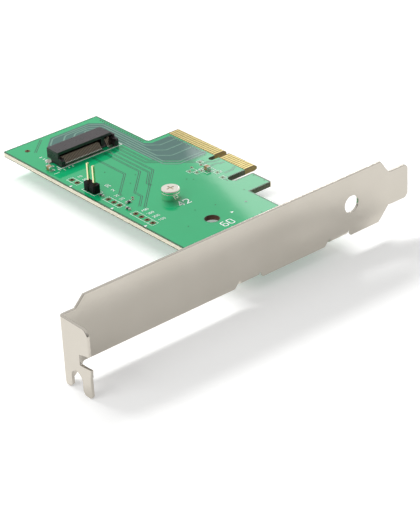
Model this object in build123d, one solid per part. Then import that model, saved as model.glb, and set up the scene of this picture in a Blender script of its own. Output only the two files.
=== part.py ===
from build123d import *
import math
import os

# Expansion card that carries one M.2 drive, with its slot bracket. Millimetres, +Z up.
# Work frame: X runs along the bracket from the tab to the tongue, Y runs from the bracket's
# outer face to the far end of the board, Z = 0 is the strip's lower edge.
# Every piece is moved by FRAME at the end, so that the origin is the bottom centre of the part.

# Bracket sheet
BRACKET_LENGTH = 120.02
STRIP_HEIGHT = 18.42
SHEET = 0.86
BEND_INNER = 0.4
BEND_OUTER = BEND_INNER + SHEET

# Mounting tab at the -X end of the bracket
TAB_DEPTH = 10.7
TAB_LEG = 4.0
TAB_CORNER = 2.2
TAB_LEG_CORNER = 1.0
LEG_CHAMFER = 0.9
NARROW_TOP = 15.5
NARROW_LENGTH = 4.8
NARROW_FOOT_LENGTH = 3.0
SCREW_SLOT_WIDTH = 4.42
SCREW_SLOT_CENTRE = 4.95
SCREW_SLOT_REACH = TAB_LEG - 0.5
SIDE_NOTCH_DEPTH = 4.1
SIDE_NOTCH_LOW = 4.3
SIDE_NOTCH_HIGH = 7.2
SIDE_NOTCH_FLARE = 0.9
SIDE_NOTCH_CORNER = 0.4
LEG_FOLD_LENGTH = 3.1
LEG_FOLD_HEIGHT = 2.1
LEG_FOLD_ANGLE = 14.0

# Tongue at the +X end of the bracket
TONGUE_WIDTH = 10.19
TONGUE_LENGTH = 7.2
TONGUE_LOW = 4.12
TONGUE_OFFSET = 0.25
TONGUE_JOGGLE = 0.9
TONGUE_CORNER = 1.5
TONGUE_CUT = 1.05
SHOULDER_LOW = 3.9
SHOULDER_HIGH = 3.0
ROUND_HOLE_RADIUS = 2.55
ROUND_HOLE_FROM_END = 21.3
ROUND_HOLE_HEIGHT = 9.45

# Ears that carry the board
EAR_WIDTH = 6.6
EAR_LENGTH = 9.8
EAR_LOW = 0.4
EAR_CORNER = 1.0
EAR_CENTRES = (61.5, 93.9)
RELIEF_WIDTH = 0.6
RELIEF_HEIGHT = 1.75
RELIEF_FLARE_TAB_SIDE = 1.5
RELIEF_FLARE_TONGUE_SIDE = 0.5
EAR_HOLE_Y = 5.6

# Circuit board
BOARD_THICKNESS = 1.57
BOARD_LOW = EAR_LOW + SHEET
BOARD_TOP = BOARD_LOW + BOARD_THICKNESS
BOARD_LEFT = 57.6
BOARD_WIDTH = 35.1
BOARD_RIGHT = BOARD_LEFT + BOARD_WIDTH
BOARD_FAR = 107.0
BOARD_NEAR = 1.6
BOARD_CORNER = 0.4
LOBE_PAST_EAR = 4.5
LOBE_RIGHT = EAR_CENTRES[1] + LOBE_PAST_EAR
LOBE_Y = 13.5

# Edge connector: contacts at 1 mm pitch, a short row, the key notch and a long row
CONTACT_PITCH = 1.0
CONTACT_WIDTH = 0.7
CONTACT_LENGTH = 4.5
CONTACT_END_GAP = 0.15
CONTACT_LIFT = 0.05
SHORT_ROW = 11
LONG_ROW = 21
ROW_MARGIN = 0.825
KEY_WIDTH = 1.9
KEY_DEPTH = 7.5
KEY_CENTRE = 59.05
BLADE_REACH = 12.35
BLADE_EDGE = BOARD_RIGHT + BLADE_REACH
BEVEL_LENGTH = 0.8
BEVEL_HEIGHT = 0.4
BLADE_CORNER = 1.0
BLADE_NEAR = KEY_CENTRE - KEY_WIDTH / 2 - 2 * ROW_MARGIN - (SHORT_ROW - 1) * CONTACT_PITCH
BLADE_FAR = KEY_CENTRE + KEY_WIDTH / 2 + 2 * ROW_MARGIN + (LONG_ROW - 1) * CONTACT_PITCH
BLADE_SLOT = 3.0
BLADE_SLOT_CORNER = 1.4
BLADE_SLOT_END = BOARD_RIGHT + 0.4
TAIL_LENGTH = 8.2
TAIL_WIDTH = 7.9

# Drive line: the connector and the two places for the standoff
DRIVE_INSET = 16.6
DRIVE_X = BOARD_LEFT + DRIVE_INSET
LONG_HOLE_Y = 30.4
LONG_DRIVE = 60.0
SHORT_DRIVE = 42.0
DRIVE_EDGE_Y = LONG_HOLE_Y + LONG_DRIVE
SHORT_HOLE_Y = DRIVE_EDGE_Y - SHORT_DRIVE
DRIVE_HOLE_RADIUS = 2.25

# Drive connector: contacts, then the housing round them
PIN_PITCH = 0.5
PIN_THICKNESS = 0.15
PIN_WIDTH = 0.2
UPPER_PINS = 38
LOWER_PINS = 37
KEYED_PINS = range(29, 33)
PAD_LIFT = 0.05
PAD_WIDTH = 0.28
PAD_MARGIN = 0.15
SOCKET_OPENING = UPPER_PINS * PIN_PITCH + 0.9
SOCKET_WALL = 0.65
SOCKET_WIDTH = SOCKET_OPENING + 2 * SOCKET_WALL
SOCKET_HEIGHT = 4.2
SOCKET_ROOF = 0.9
SOCKET_FLOOR = 0.9
SOCKET_LIP = 1.45
SOCKET_FRONT_REACH = 2.9
SOCKET_BACK_REACH = 2.5
SOCKET_FRONT = DRIVE_EDGE_Y - SOCKET_FRONT_REACH
SOCKET_BACK = DRIVE_EDGE_Y + SOCKET_BACK_REACH
SOCKET_LIFT = 0.15
FOOT_LENGTH = 1.7
FOOT_START = LOWER_PINS * PIN_PITCH / 2
FOOT_HEIGHT = 2.3
FOOT_OVERLAP = 0.6
FOOT_CORNER = 0.7
ROOF_STEP = 1.4
ROOF_STEP_DROP = 1.0
KEY_RIB_WIDTH = 1.1
KEY_RIB_OFFSET = ((KEYED_PINS[0] + KEYED_PINS[-1]) - (UPPER_PINS + LOWER_PINS) / 2 + 1) * PIN_PITCH / 2
PEG_RADII = (0.55, 0.8)
PEG_INSET = 1.2
PEG_BLOCK = 1.2
PEG_Y = DRIVE_EDGE_Y + 1.0
PEG_CLEARANCE = 0.05
PEG_SETBACK = 0.2
SOLDER_TAB = 0.2
SOLDER_TAB_REACH = 0.9
SOLDER_TAB_LENGTH = 2.1
SOLDER_TAB_Y = SOCKET_BACK - SOLDER_TAB_LENGTH - 0.1
SOLDER_TAB_HEIGHT = 1.2

# Pin header and the three rows of empty holes
HEADER_PITCH = 2.54
HEADER_INSET = 3.3
HEADER_X = BOARD_LEFT + HEADER_INSET
HEADER_PIN = 0.64
HEADER_PIN_TAPER = 0.13
HEADER_CUT = 0.4
HEADER_PIN_ABOVE = 8.54
HEADER_PIN_BELOW = 1.4
HEADER_FAR_Y = 69.0
EMPTY_ROWS = ((77.4, 2), (60.2, 3), (47.75, 4))
HEADER_HOLE_RADIUS = 0.5
LINING_WALL = 0.12
LINING_RING = 0.8
LINING_LIFT = 0.05
LINING_CLEARANCE = 0.02
SOLDER_CONE = 0.7
SOLDER_CONE_TIP = 0.51
CORNER_HOLE_FROM_LEFT = 5.4
CORNER_HOLE_FROM_FAR = 4.8
CORNER_HOLE = (BOARD_LEFT + CORNER_HOLE_FROM_LEFT, BOARD_FAR - CORNER_HOLE_FROM_FAR)

# Standoff and screws
STANDOFF_RADIUS = 2.7
STANDOFF_HEIGHT = 2.2
STANDOFF_CHAMFER = 0.2
THREAD_RADIUS = 1.5
THREAD_CLEARANCE = 0.04
SPIGOT_CLEARANCE = 0.06
CLAMP_GAP = 0.12
DRIVE_SCREW_HEAD = 2.75
DRIVE_SCREW_HEIGHT = 0.95
DRIVE_SCREW_SHANK = 1.7
CLAMP_SCREW_HEAD = 3.2
CLAMP_SCREW_HEIGHT = 0.8
CLAMP_SCREW_SHANK = 1.6
BRACKET_SCREW_HEAD = 2.75
BRACKET_SCREW_HEIGHT = 1.7
BRACKET_SCREW_SHANK = BOARD_THICKNESS + SHEET + 1.0
BOARD_SCREW_HOLE_RADIUS = 1.65
CROSS_LENGTH = 2.6
CROSS_WIDTH = 0.5
CROSS_DEPTH = 0.6
HEAD_ROUNDING = 0.45
TIP_CHAMFER = 0.25

# Small parts: length, width and height, then centre and direction of the length in degrees
CHIP_CAPACITOR = (2.0, 1.25, 1.25)
CHIP_RESISTOR = (1.6, 0.8, 0.45)
CAPACITOR_PLACES = ((BOARD_LEFT + 2.65, 87.4, 90), (BOARD_LEFT + 35.2, 54.4, 90))
RESISTOR_PLACES = ((BOARD_LEFT + 6.1, 54.6, 0), (BOARD_LEFT + 3.6, 51.5, 90), (HEADER_X, 63.3, 90))
TERMINAL_SHARE = 0.24
TERMINAL_STEP = 0.04
TERMINAL_ROUNDING = 0.08

FRAME = Location((-BRACKET_LENGTH / 2, (TAB_DEPTH - BOARD_FAR) / 2, TAB_LEG))

XY, XZ, YZ = Plane.XY, Plane.XZ, Plane.YZ


def outline(corners):
    """Face from (x, y) or (x, y, radius) corners."""
    face = make_face(Polyline(*[c[:2] for c in corners], close=True))
    for corner in corners:
        if len(corner) == 3:
            place = Vector(corner[0], corner[1], 0)
            face = fillet(face.vertices().sort_by_distance(place)[0], radius=corner[2])
    return face


def flat(corners, low, high):
    """Prism with its outline in X and Y, from Z = low to Z = high."""
    return Pos(0, 0, low) * extrude(XY * outline(corners), amount=high - low)


def upright(corners, near, far):
    """Prism with its outline in X and Z, from Y = near to Y = far."""
    return Pos(0, near, 0) * extrude(XZ * outline(corners), amount=near - far)


def across(corners, left, right):
    """Prism with its outline in Y and Z, from X = left to X = right."""
    return Pos(left, 0, 0) * extrude(YZ * outline(corners), amount=right - left)


def block(x0, x1, y0, y1, z0, z1):
    return Pos((x0 + x1) / 2, (y0 + y1) / 2, (z0 + z1) / 2) * Box(x1 - x0, y1 - y0, z1 - z0)


def rod(x, y, radius, low, high):
    return Pos(x, y, (low + high) / 2) * Cylinder(radius, high - low)


def edge_near(shape, axis, place):
    """The straight edge along the axis that passes nearest to the place."""
    return shape.edges().filter_by(axis).sort_by_distance(Vector(*place))[0]


def ribbon(path, thickness):
    """Closed outline of a strip of even thickness whose middle follows the path."""
    sides = ([], [])
    for i, (a, b) in enumerate(path):
        before = path[max(i - 1, 0)]
        after = path[min(i + 1, len(path) - 1)]
        first = math.atan2(b - before[1], a - before[0]) if i else None
        last = math.atan2(after[1] - b, after[0] - a) if i < len(path) - 1 else first
        first = last if first is None else first
        turn = (last - first + math.pi) % (2 * math.pi) - math.pi
        normal = first + turn / 2 + math.pi / 2
        reach = thickness / 2 / math.cos(turn / 2)
        for side, sign in zip(sides, (1, -1)):
            side.append((a + sign * reach * math.cos(normal), b + sign * reach * math.sin(normal)))
    return sides[0] + sides[1][::-1]


def cross_recess(x, y, top, depth):
    cut = block(x - CROSS_LENGTH / 2, x + CROSS_LENGTH / 2, y - CROSS_WIDTH / 2, y + CROSS_WIDTH / 2,
                top - depth, top)
    return cut + cut.rotate(Axis((x, y, 0), (0, 0, 1)), 90)


def screw(x, y, seat, head_radius, head_height, shank_length, up=1):
    """Pan head above the seat (up = 1) or below it (up = -1), shank on the other side."""
    head = rod(0, 0, head_radius, 0, head_height)
    rim = head.edges().filter_by(GeomType.CIRCLE).sort_by(Axis.Z)[-1]
    head = fillet(rim, radius=min(head_height, head_radius) * HEAD_ROUNDING)
    body = head + rod(0, 0, THREAD_RADIUS - THREAD_CLEARANCE, -shank_length, 0)
    tip = body.edges().filter_by(GeomType.CIRCLE).sort_by(Axis.Z)[0]
    body = chamfer(tip, length=TIP_CHAMFER) - cross_recess(0, 0, head_height, CROSS_DEPTH)
    turned = body if up > 0 else body.rotate(Axis.X, 180)
    return Pos(x, y, seat) * turned


# Bracket: one folded sheet
def relief(ear_edge, side, flare):
    """Cut beside an ear, with a sloping outer wall."""
    wall = ear_edge + side * RELIEF_WIDTH
    return upright([(ear_edge, -1), (ear_edge, RELIEF_HEIGHT), (wall, RELIEF_HEIGHT),
                    (wall + side * flare, 0), (wall + side * flare, -1)], -1, SHEET + 1)


def bracket_strip():
    step = STRIP_HEIGHT - NARROW_TOP
    foot = TAB_LEG - LEG_CHAMFER
    tongue_top = TONGUE_LOW + TONGUE_WIDTH
    tongue_start = BRACKET_LENGTH - TONGUE_LENGTH
    face = upright(
        [(0, -foot), (NARROW_FOOT_LENGTH, -foot), (NARROW_FOOT_LENGTH + foot, 0),
         (tongue_start - SHOULDER_LOW, 0), (tongue_start, TONGUE_LOW),
         (BRACKET_LENGTH - TONGUE_CUT, TONGUE_LOW),
         (BRACKET_LENGTH, TONGUE_LOW + TONGUE_CUT), (BRACKET_LENGTH, tongue_top, TONGUE_CORNER),
         (tongue_start, tongue_top), (tongue_start - SHOULDER_HIGH, STRIP_HEIGHT),
         (NARROW_LENGTH + step, STRIP_HEIGHT), (NARROW_LENGTH, NARROW_TOP), (0, NARROW_TOP)],
        -1, SHEET + 1)
    joggle = tongue_start + TONGUE_JOGGLE
    section = flat(
        [(0, 0), (tongue_start, 0), (joggle, -TONGUE_OFFSET), (BRACKET_LENGTH, -TONGUE_OFFSET),
         (BRACKET_LENGTH, SHEET - TONGUE_OFFSET), (joggle, SHEET - TONGUE_OFFSET),
         (tongue_start, SHEET), (0, SHEET)], -TAB_LEG - 1, STRIP_HEIGHT + 1)
    return face & section


def folded_corner(tab):
    """The corner of the outer leg, bent inwards about a line on the outer face."""
    outer, high = -TAB_DEPTH, SIDE_NOTCH_LOW
    a = (outer + LEG_FOLD_LENGTH, high)
    b = (outer, high - LEG_FOLD_HEIGHT)
    corner = across([a, b, (outer - 1, b[1]), (outer - 1, high + 1), (a[0], high + 1)], -1, SHEET + 1)
    axis = Axis((0, a[0], a[1]), (0, b[0] - a[0], b[1] - a[1]))
    return (tab - corner) + (tab & corner).rotate(axis, -LEG_FOLD_ANGLE)


def bracket_tab():
    outer, foot = -TAB_DEPTH, TAB_LEG - LEG_CHAMFER
    inner = outer + SIDE_NOTCH_DEPTH
    tab = across(
        [(SHEET, NARROW_TOP), (outer, NARROW_TOP, TAB_CORNER),
         (outer, SIDE_NOTCH_HIGH + SIDE_NOTCH_FLARE), (inner, SIDE_NOTCH_HIGH, SIDE_NOTCH_CORNER),
         (inner, SIDE_NOTCH_LOW, SIDE_NOTCH_CORNER), (outer, SIDE_NOTCH_LOW),
         (outer, -TAB_LEG, TAB_LEG_CORNER), (-SHEET / 2, -TAB_LEG), (SHEET / 2, -foot),
         (SHEET, -foot)], 0, SHEET)
    half = SCREW_SLOT_WIDTH / 2
    middle = -SCREW_SLOT_CENTRE
    slot_top = SCREW_SLOT_REACH - TAB_LEG
    slot = across(
        [(middle - half - LEG_CHAMFER - 1, -TAB_LEG - 1), (middle - half, -foot),
         (middle - half, slot_top), (middle + half, slot_top), (middle + half, -foot),
         (middle + half + LEG_CHAMFER + 1, -TAB_LEG - 1)], -1, SHEET + 1)
    end = Pos(SHEET / 2, middle, slot_top) * Rot(0, 90, 0) * Cylinder(half, SHEET + 2)
    return folded_corner(tab - slot - end)


def slot_bracket():
    strip = bracket_strip()
    for centre in EAR_CENTRES:
        low, high = centre - EAR_WIDTH / 2, centre + EAR_WIDTH / 2
        strip -= relief(low, -1, RELIEF_FLARE_TAB_SIDE)
        strip -= relief(high, 1, RELIEF_FLARE_TONGUE_SIDE)
        strip -= block(low, high, -1, SHEET + 1, -1, EAR_LOW)
        strip += flat([(low, SHEET / 2), (high, SHEET / 2), (high, EAR_LENGTH, EAR_CORNER),
                       (low, EAR_LENGTH, EAR_CORNER)], EAR_LOW, EAR_LOW + SHEET)
        strip -= rod(centre, EAR_HOLE_Y, THREAD_RADIUS, EAR_LOW - 1, EAR_LOW + SHEET + 1)
        strip = fillet(edge_near(strip, Axis.X, (centre, 0, EAR_LOW)), radius=BEND_OUTER)
        strip = fillet(edge_near(strip, Axis.X, (centre, SHEET, EAR_LOW + SHEET)), radius=BEND_INNER)
    hole_x = BRACKET_LENGTH - ROUND_HOLE_FROM_END
    strip -= (Pos(hole_x, SHEET / 2, ROUND_HOLE_HEIGHT) * Rot(90, 0, 0)
              * Cylinder(ROUND_HOLE_RADIUS, SHEET + 2))
    sheet = strip + bracket_tab()
    middle = NARROW_TOP / 2
    sheet = fillet(edge_near(sheet, Axis.Z, (0, SHEET, middle)), radius=BEND_OUTER)
    return fillet(edge_near(sheet, Axis.Z, (SHEET, 0, middle)), radius=BEND_INNER)


# Circuit board
def header_places():
    return [(HEADER_X, HEADER_FAR_Y - i * HEADER_PITCH) for i in range(2)]


def header_holes():
    """Places of the empty plated holes, row by row."""
    for far, count in EMPTY_ROWS:
        for i in range(count):
            yield HEADER_X, far - i * HEADER_PITCH


def peg_places():
    reach = SOCKET_WIDTH / 2 - PEG_INSET
    return ((DRIVE_X - reach, PEG_RADII[0]), (DRIVE_X + reach, PEG_RADII[1]))


def circuit_board():
    slot_near = BLADE_NEAR - BLADE_SLOT
    lobe_end = LOBE_Y + LOBE_RIGHT - BOARD_RIGHT
    tail_edge = BOARD_RIGHT + TAIL_LENGTH
    board = flat(
        [(BOARD_LEFT, BOARD_NEAR, BOARD_CORNER), (LOBE_RIGHT, BOARD_NEAR, BOARD_CORNER),
         (LOBE_RIGHT, LOBE_Y), (BOARD_RIGHT, lobe_end), (BOARD_RIGHT, slot_near - TAIL_WIDTH),
         (tail_edge, slot_near - TAIL_WIDTH, BOARD_CORNER), (tail_edge, slot_near, BOARD_CORNER),
         (BLADE_SLOT_END, slot_near, BLADE_SLOT_CORNER), (BLADE_SLOT_END, BLADE_NEAR, BLADE_SLOT_CORNER),
         (BLADE_EDGE, BLADE_NEAR), (BLADE_EDGE, BLADE_FAR), (BOARD_RIGHT, BLADE_FAR, BLADE_CORNER),
         (BOARD_RIGHT, BOARD_FAR, BOARD_CORNER), (BOARD_LEFT, BOARD_FAR, BOARD_CORNER)],
        BOARD_LOW, BOARD_TOP)
    for level, way in ((BOARD_LOW, 1), (BOARD_TOP, -1)):
        board -= upright([(BLADE_EDGE - BEVEL_LENGTH, level), (BLADE_EDGE, level + way * BEVEL_HEIGHT),
                          (BLADE_EDGE + 1, level + way * BEVEL_HEIGHT), (BLADE_EDGE + 1, level - way),
                          (BLADE_EDGE - BEVEL_LENGTH, level - way)], BLADE_NEAR - 1, BLADE_FAR + 1)
    key_end = BLADE_EDGE - KEY_DEPTH + KEY_WIDTH / 2
    low, high = BOARD_LOW - 1, BOARD_TOP + 1
    board -= block(key_end, BLADE_EDGE + 1, KEY_CENTRE - KEY_WIDTH / 2, KEY_CENTRE + KEY_WIDTH / 2, low, high)
    board -= rod(key_end, KEY_CENTRE, KEY_WIDTH / 2, low, high)
    round_holes = [(DRIVE_X, LONG_HOLE_Y, DRIVE_HOLE_RADIUS), (DRIVE_X, SHORT_HOLE_Y, DRIVE_HOLE_RADIUS)]
    round_holes += [(x, EAR_HOLE_Y, BOARD_SCREW_HOLE_RADIUS) for x in EAR_CENTRES]
    round_holes += [(x, PEG_Y, r + PEG_CLEARANCE) for x, r in peg_places()]
    round_holes += [(x, y, HEADER_HOLE_RADIUS) for x, y in header_holes()]
    round_holes += [(x, y, HEADER_HOLE_RADIUS) for x, y in header_places()]
    round_holes.append((*CORNER_HOLE, HEADER_HOLE_RADIUS))
    for x, y, r in round_holes:
        board -= rod(x, y, r, low, high)
    return board


def contact_rows():
    """Y of every edge contact, the short row first."""
    first = BLADE_NEAR + ROW_MARGIN
    for i in range(SHORT_ROW):
        yield first + i * CONTACT_PITCH
    first = KEY_CENTRE + KEY_WIDTH / 2 + ROW_MARGIN
    for i in range(LONG_ROW):
        yield first + i * CONTACT_PITCH


def edge_contacts(face, way):
    """Contacts that lie on one face of the board and run down its bevel."""
    slope = BEVEL_HEIGHT / BEVEL_LENGTH
    reach = BEVEL_LENGTH - CONTACT_END_GAP
    start, turn, end = (BLADE_EDGE - CONTACT_LENGTH, BLADE_EDGE - BEVEL_LENGTH, BLADE_EDGE - CONTACT_END_GAP)
    drop = face - way * reach * slope
    section = [(start, face), (turn, face), (end, drop), (end, drop + way * CONTACT_LIFT),
               (turn, face + way * CONTACT_LIFT), (start, face + way * CONTACT_LIFT)]
    half = CONTACT_WIDTH / 2
    return [upright(section, y - half, y + half) for y in contact_rows()]


def hole_linings():
    """Plated holes: a thin tube with a ring on each face of the board."""
    outer = HEADER_HOLE_RADIUS - LINING_CLEARANCE
    for x, y in [*header_holes(), CORNER_HOLE]:
        body = rod(x, y, outer, BOARD_LOW, BOARD_TOP)
        body += rod(x, y, LINING_RING, BOARD_TOP, BOARD_TOP + LINING_LIFT)
        body += rod(x, y, LINING_RING, BOARD_LOW - LINING_LIFT, BOARD_LOW)
        yield body - rod(x, y, outer - LINING_WALL, BOARD_LOW - 1, BOARD_TOP + 1)


# Drive connector
def pin_places(count):
    first = DRIVE_X - (count - 1) * PIN_PITCH / 2
    return [first + i * PIN_PITCH for i in range(count) if i not in KEYED_PINS]


SEAT = BOARD_TOP + PAD_LIFT
LOWER_PATH = ((SOCKET_FRONT - 1.9, 0), (SOCKET_FRONT - 0.55, 0), (SOCKET_FRONT - 0.25, 0.2),
              (SOCKET_FRONT + 1.05, 1.95), (SOCKET_FRONT + 1.4, 2.1), (SOCKET_FRONT + 1.85, 1.9),
              (DRIVE_EDGE_Y, 1.35), (DRIVE_EDGE_Y + 0.6, 1.35))
UPPER_RUN = SOCKET_HEIGHT - SOCKET_ROOF - 0.35
UPPER_PATH = ((SOCKET_BACK + 1.6, 0), (SOCKET_BACK + 0.7, 0), (SOCKET_BACK + 0.35, 0.3),
              (SOCKET_BACK + 0.35, UPPER_RUN - 0.3), (SOCKET_BACK + 0.1, UPPER_RUN),
              (DRIVE_EDGE_Y, UPPER_RUN), (SOCKET_FRONT + 1.6, UPPER_RUN - 0.05),
              (SOCKET_FRONT + 1.2, UPPER_RUN - 0.2), (SOCKET_FRONT + 0.7, UPPER_RUN))


def pins(path, count):
    lifted = [(y, z + SEAT + PIN_THICKNESS / 2) for y, z in path]
    section = ribbon(lifted, PIN_THICKNESS)
    return [across(section, x - PIN_WIDTH / 2, x + PIN_WIDTH / 2) for x in pin_places(count)]


def socket_housing(cuts):
    base = BOARD_TOP
    half, opening = SOCKET_WIDTH / 2, SOCKET_OPENING / 2
    left, right = DRIVE_X - half, DRIVE_X + half
    roof_low, top = base + SOCKET_HEIGHT - SOCKET_ROOF, base + SOCKET_HEIGHT
    low = base + SOCKET_LIFT
    body = block(left, right - ROOF_STEP, SOCKET_FRONT, SOCKET_BACK, roof_low, top)
    body += block(left, right, DRIVE_EDGE_Y, SOCKET_BACK, low, top - ROOF_STEP_DROP)
    body += block(left, right - ROOF_STEP, DRIVE_EDGE_Y, SOCKET_BACK, low, top)
    front = SOCKET_FRONT + 0.1
    floor = [(front, low), (DRIVE_EDGE_Y, low), (DRIVE_EDGE_Y, low + SOCKET_FLOOR),
             (front + 1.8, low + SOCKET_FLOOR), (front + 1.35, low + SOCKET_LIP),
             (front + 1.05, low + SOCKET_LIP), (front, low + 0.1)]
    body += across(floor, left, right)
    wall_top = {left: roof_low, DRIVE_X + opening: top - ROOF_STEP_DROP}
    for x, wall_high in wall_top.items():
        body += block(x, x + half - opening, SOCKET_FRONT, DRIVE_EDGE_Y, low, wall_high)
    foot_end = SOCKET_FRONT + FOOT_OVERLAP
    foot = [(SOCKET_FRONT - FOOT_LENGTH, base), (foot_end, base), (foot_end, base + FOOT_HEIGHT),
            (SOCKET_FRONT - FOOT_LENGTH, base + FOOT_HEIGHT, FOOT_CORNER)]
    for x in (left, DRIVE_X + FOOT_START):
        body += across(foot, x, x + half - FOOT_START)
    rib = DRIVE_X + KEY_RIB_OFFSET
    body += block(rib - KEY_RIB_WIDTH / 2, rib + KEY_RIB_WIDTH / 2, SOCKET_FRONT + 0.2, DRIVE_EDGE_Y,
                  low + 0.5, roof_low)
    for x, radius in peg_places():
        body += rod(x, PEG_Y, radius, BOARD_LOW + PEG_SETBACK, low)
        body += block(x - PEG_BLOCK, x + PEG_BLOCK, DRIVE_EDGE_Y, SOCKET_BACK, base, low)
    return body - cuts


def solder_tabs():
    """Metal ears that hold the connector's ends to the board."""
    y0 = SOLDER_TAB_Y
    y1 = y0 + SOLDER_TAB_LENGTH
    for side in (-1, 1):
        wall = DRIVE_X + side * SOCKET_WIDTH / 2
        reach = wall + side * SOLDER_TAB_REACH
        rise = wall + side * SOLDER_TAB
        foot = block(min(wall, reach), max(wall, reach), y0, y1, SEAT, SEAT + SOLDER_TAB)
        yield foot + block(min(wall, rise), max(wall, rise), y0, y1, SEAT, SEAT + SOLDER_TAB_HEIGHT)


# Pin header
def header_base():
    half, cut = HEADER_PITCH / 2, HEADER_CUT
    far = HEADER_FAR_Y + half
    corners = []
    for i in range(2):
        y = far - i * HEADER_PITCH
        corners += [(HEADER_X + half - cut, y), (HEADER_X + half, y - cut),
                    (HEADER_X + half, y - HEADER_PITCH + cut)]
    corners.append((HEADER_X + half - cut, far - 2 * HEADER_PITCH))
    mirrored = [(2 * HEADER_X - x, y) for x, y in reversed(corners)]
    base = flat(corners + mirrored, BOARD_TOP, BOARD_TOP + HEADER_PITCH)
    half_pin = HEADER_PIN / 2
    for x, y in header_places():
        base -= block(x - half_pin, x + half_pin, y - half_pin, y + half_pin,
                      BOARD_LOW, BOARD_TOP + HEADER_PITCH + 1)
    return base


def header_pins():
    half = HEADER_PIN / 2
    low, high = BOARD_LOW - HEADER_PIN_BELOW, BOARD_TOP + HEADER_PIN_ABOVE
    for x, y in header_places():
        pin = block(x - half, x + half, y - half, y + half, low, high)
        ends = pin.edges().filter_by(Axis.Z, reverse=True)
        yield chamfer(ends, length=HEADER_PIN_TAPER)


def header_solder():
    """Solder cones round the pins under the board."""
    half = HEADER_PIN / 2
    for x, y in header_places():
        cone = (Pos(x, y, BOARD_LOW - SOLDER_CONE / 2) * Rot(180, 0, 0)
                * Cone(LINING_RING, SOLDER_CONE_TIP, SOLDER_CONE))
        yield cone - block(x - half, x + half, y - half, y + half, BOARD_LOW - 2, BOARD_TOP)


# Standoff
def standoff():
    top = BOARD_TOP + STANDOFF_HEIGHT
    body = rod(DRIVE_X, SHORT_HOLE_Y, STANDOFF_RADIUS, BOARD_TOP, top)
    body = chamfer(body.edges().filter_by(GeomType.CIRCLE).sort_by(Axis.Z)[-1], length=STANDOFF_CHAMFER)
    body += rod(DRIVE_X, SHORT_HOLE_Y, DRIVE_HOLE_RADIUS - SPIGOT_CLEARANCE, BOARD_LOW + CLAMP_GAP, BOARD_TOP)
    return body - rod(DRIVE_X, SHORT_HOLE_Y, THREAD_RADIUS, BOARD_LOW - 1, top + 1)


# Small parts
def chip(place, size, lift):
    """Body and two end caps of a chip part, standing on its pads."""
    x, y, angle = place
    length, width, height = size
    cap = length * TERMINAL_SHARE
    seat = Pos(x, y, lift) * Rot(0, 0, angle)
    body = Pos(0, 0, height / 2) * Box(length - 2 * cap, width - 2 * TERMINAL_STEP,
                                       height - 2 * TERMINAL_STEP)
    ends = []
    for side in (-1, 1):
        end = Pos(side * (length - cap) / 2, 0, height / 2) * Box(cap, width, height)
        ends.append(seat * fillet(end.edges().filter_by(Axis.Y), radius=TERMINAL_ROUNDING))
    return seat * body, ends


def pads():
    """Tinned pads under everything that is soldered to the top of the board."""
    low, high = BOARD_TOP, BOARD_TOP + PAD_LIFT
    for path, count in ((LOWER_PATH, LOWER_PINS), (UPPER_PATH, UPPER_PINS)):
        y0, y1 = sorted((path[0][0], path[1][0]))
        for x in pin_places(count):
            yield block(x - PAD_WIDTH / 2, x + PAD_WIDTH / 2, y0 - PAD_MARGIN, y1, low, high)
    for side in (-1, 1):
        wall = DRIVE_X + side * SOCKET_WIDTH / 2
        reach = wall + side * (SOLDER_TAB_REACH + PAD_MARGIN)
        yield block(min(wall, reach), max(wall, reach), SOLDER_TAB_Y - PAD_MARGIN,
                    SOLDER_TAB_Y + SOLDER_TAB_LENGTH + PAD_MARGIN, low, high)
    chips = [(p, CHIP_CAPACITOR) for p in CAPACITOR_PLACES] + [(p, CHIP_RESISTOR) for p in RESISTOR_PLACES]
    for (x, y, angle), (length, width, _) in chips:
        span = length * TERMINAL_SHARE + PAD_MARGIN
        for side in (-1, 1):
            centre = side * (length / 2 + PAD_MARGIN - span / 2)
            yield (Pos(x, y, (low + high) / 2) * Rot(0, 0, angle) * Pos(centre, 0, 0)
                   * Box(span, width + PAD_MARGIN, PAD_LIFT))


def save(name, *solids):
    group = [FRAME * s for s in solids]
    shape = group[0] if len(group) == 1 else Compound(children=[Part() + g for g in group])
    export_step(shape, f"parts/{name}.step")


os.makedirs("parts", exist_ok=True)

lower_pins = pins(LOWER_PATH, LOWER_PINS)
upper_pins = pins(UPPER_PATH, UPPER_PINS)
capacitors = [chip(p, CHIP_CAPACITOR, SEAT) for p in CAPACITOR_PLACES]
resistors = [chip(p, CHIP_RESISTOR, SEAT) for p in RESISTOR_PLACES]

save("slot_bracket", slot_bracket())
save("circuit_board", circuit_board())
save("edge_contacts_top", *edge_contacts(BOARD_TOP, 1))
save("edge_contacts_bottom", *edge_contacts(BOARD_LOW, -1))
save("solder_pads", *pads())
save("hole_linings", *hole_linings())
save("drive_socket_housing", socket_housing(lower_pins + upper_pins))
save("drive_socket_lower_pins", *lower_pins)
save("drive_socket_upper_pins", *upper_pins)
save("drive_socket_solder_tabs", *solder_tabs())
save("header_base", header_base())
save("header_pins", *header_pins())
save("header_solder", *header_solder())
save("standoff", standoff())
save("standoff_screw", screw(DRIVE_X, SHORT_HOLE_Y, BOARD_TOP + STANDOFF_HEIGHT, DRIVE_SCREW_HEAD,
                             DRIVE_SCREW_HEIGHT, DRIVE_SCREW_SHANK))
save("standoff_clamp_screw", screw(DRIVE_X, SHORT_HOLE_Y, BOARD_LOW, CLAMP_SCREW_HEAD,
                                   CLAMP_SCREW_HEIGHT, CLAMP_SCREW_SHANK, up=-1))
for name, x in zip(("bracket_screw_tab_side", "bracket_screw_tongue_side"), EAR_CENTRES):
    save(name, screw(x, EAR_HOLE_Y, BOARD_TOP, BRACKET_SCREW_HEAD, BRACKET_SCREW_HEIGHT,
                     BRACKET_SCREW_SHANK))
save("capacitor_bodies", *[body for body, _ in capacitors])
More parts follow.
